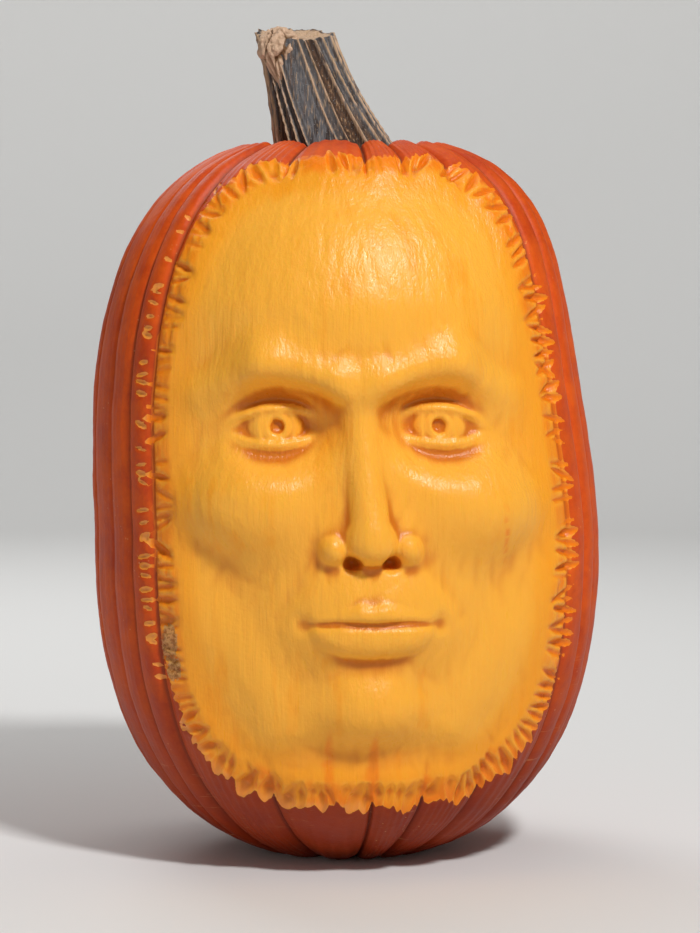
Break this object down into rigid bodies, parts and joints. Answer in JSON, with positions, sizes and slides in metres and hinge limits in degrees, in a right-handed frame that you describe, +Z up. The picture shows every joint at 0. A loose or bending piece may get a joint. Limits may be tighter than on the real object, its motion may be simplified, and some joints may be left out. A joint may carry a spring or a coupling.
{
  "type": "carved pumpkin",
  "caption": "Tall ribbed pumpkin standing on its flat foot, with a calm face carved in relief into its front and a dry leaning stem.",
  "frame": {"origin": "middle of the flat foot, on the axis of the belly", "axes": "+Z up along the height, the carved face looks along -Y, the stem leans towards -X"},
  "size_m": [0.2909, 0.2868, 0.4704],
  "materials": {
    "pumpkin": "moist cut flesh inside a waxy orange rind",
    "stem": "dry ridged grey-brown stem"
  },
  "bodies": {
    "root": {"pumpkin": "pumpkin", "stem": "stem"}
  },
  "joints": []
}
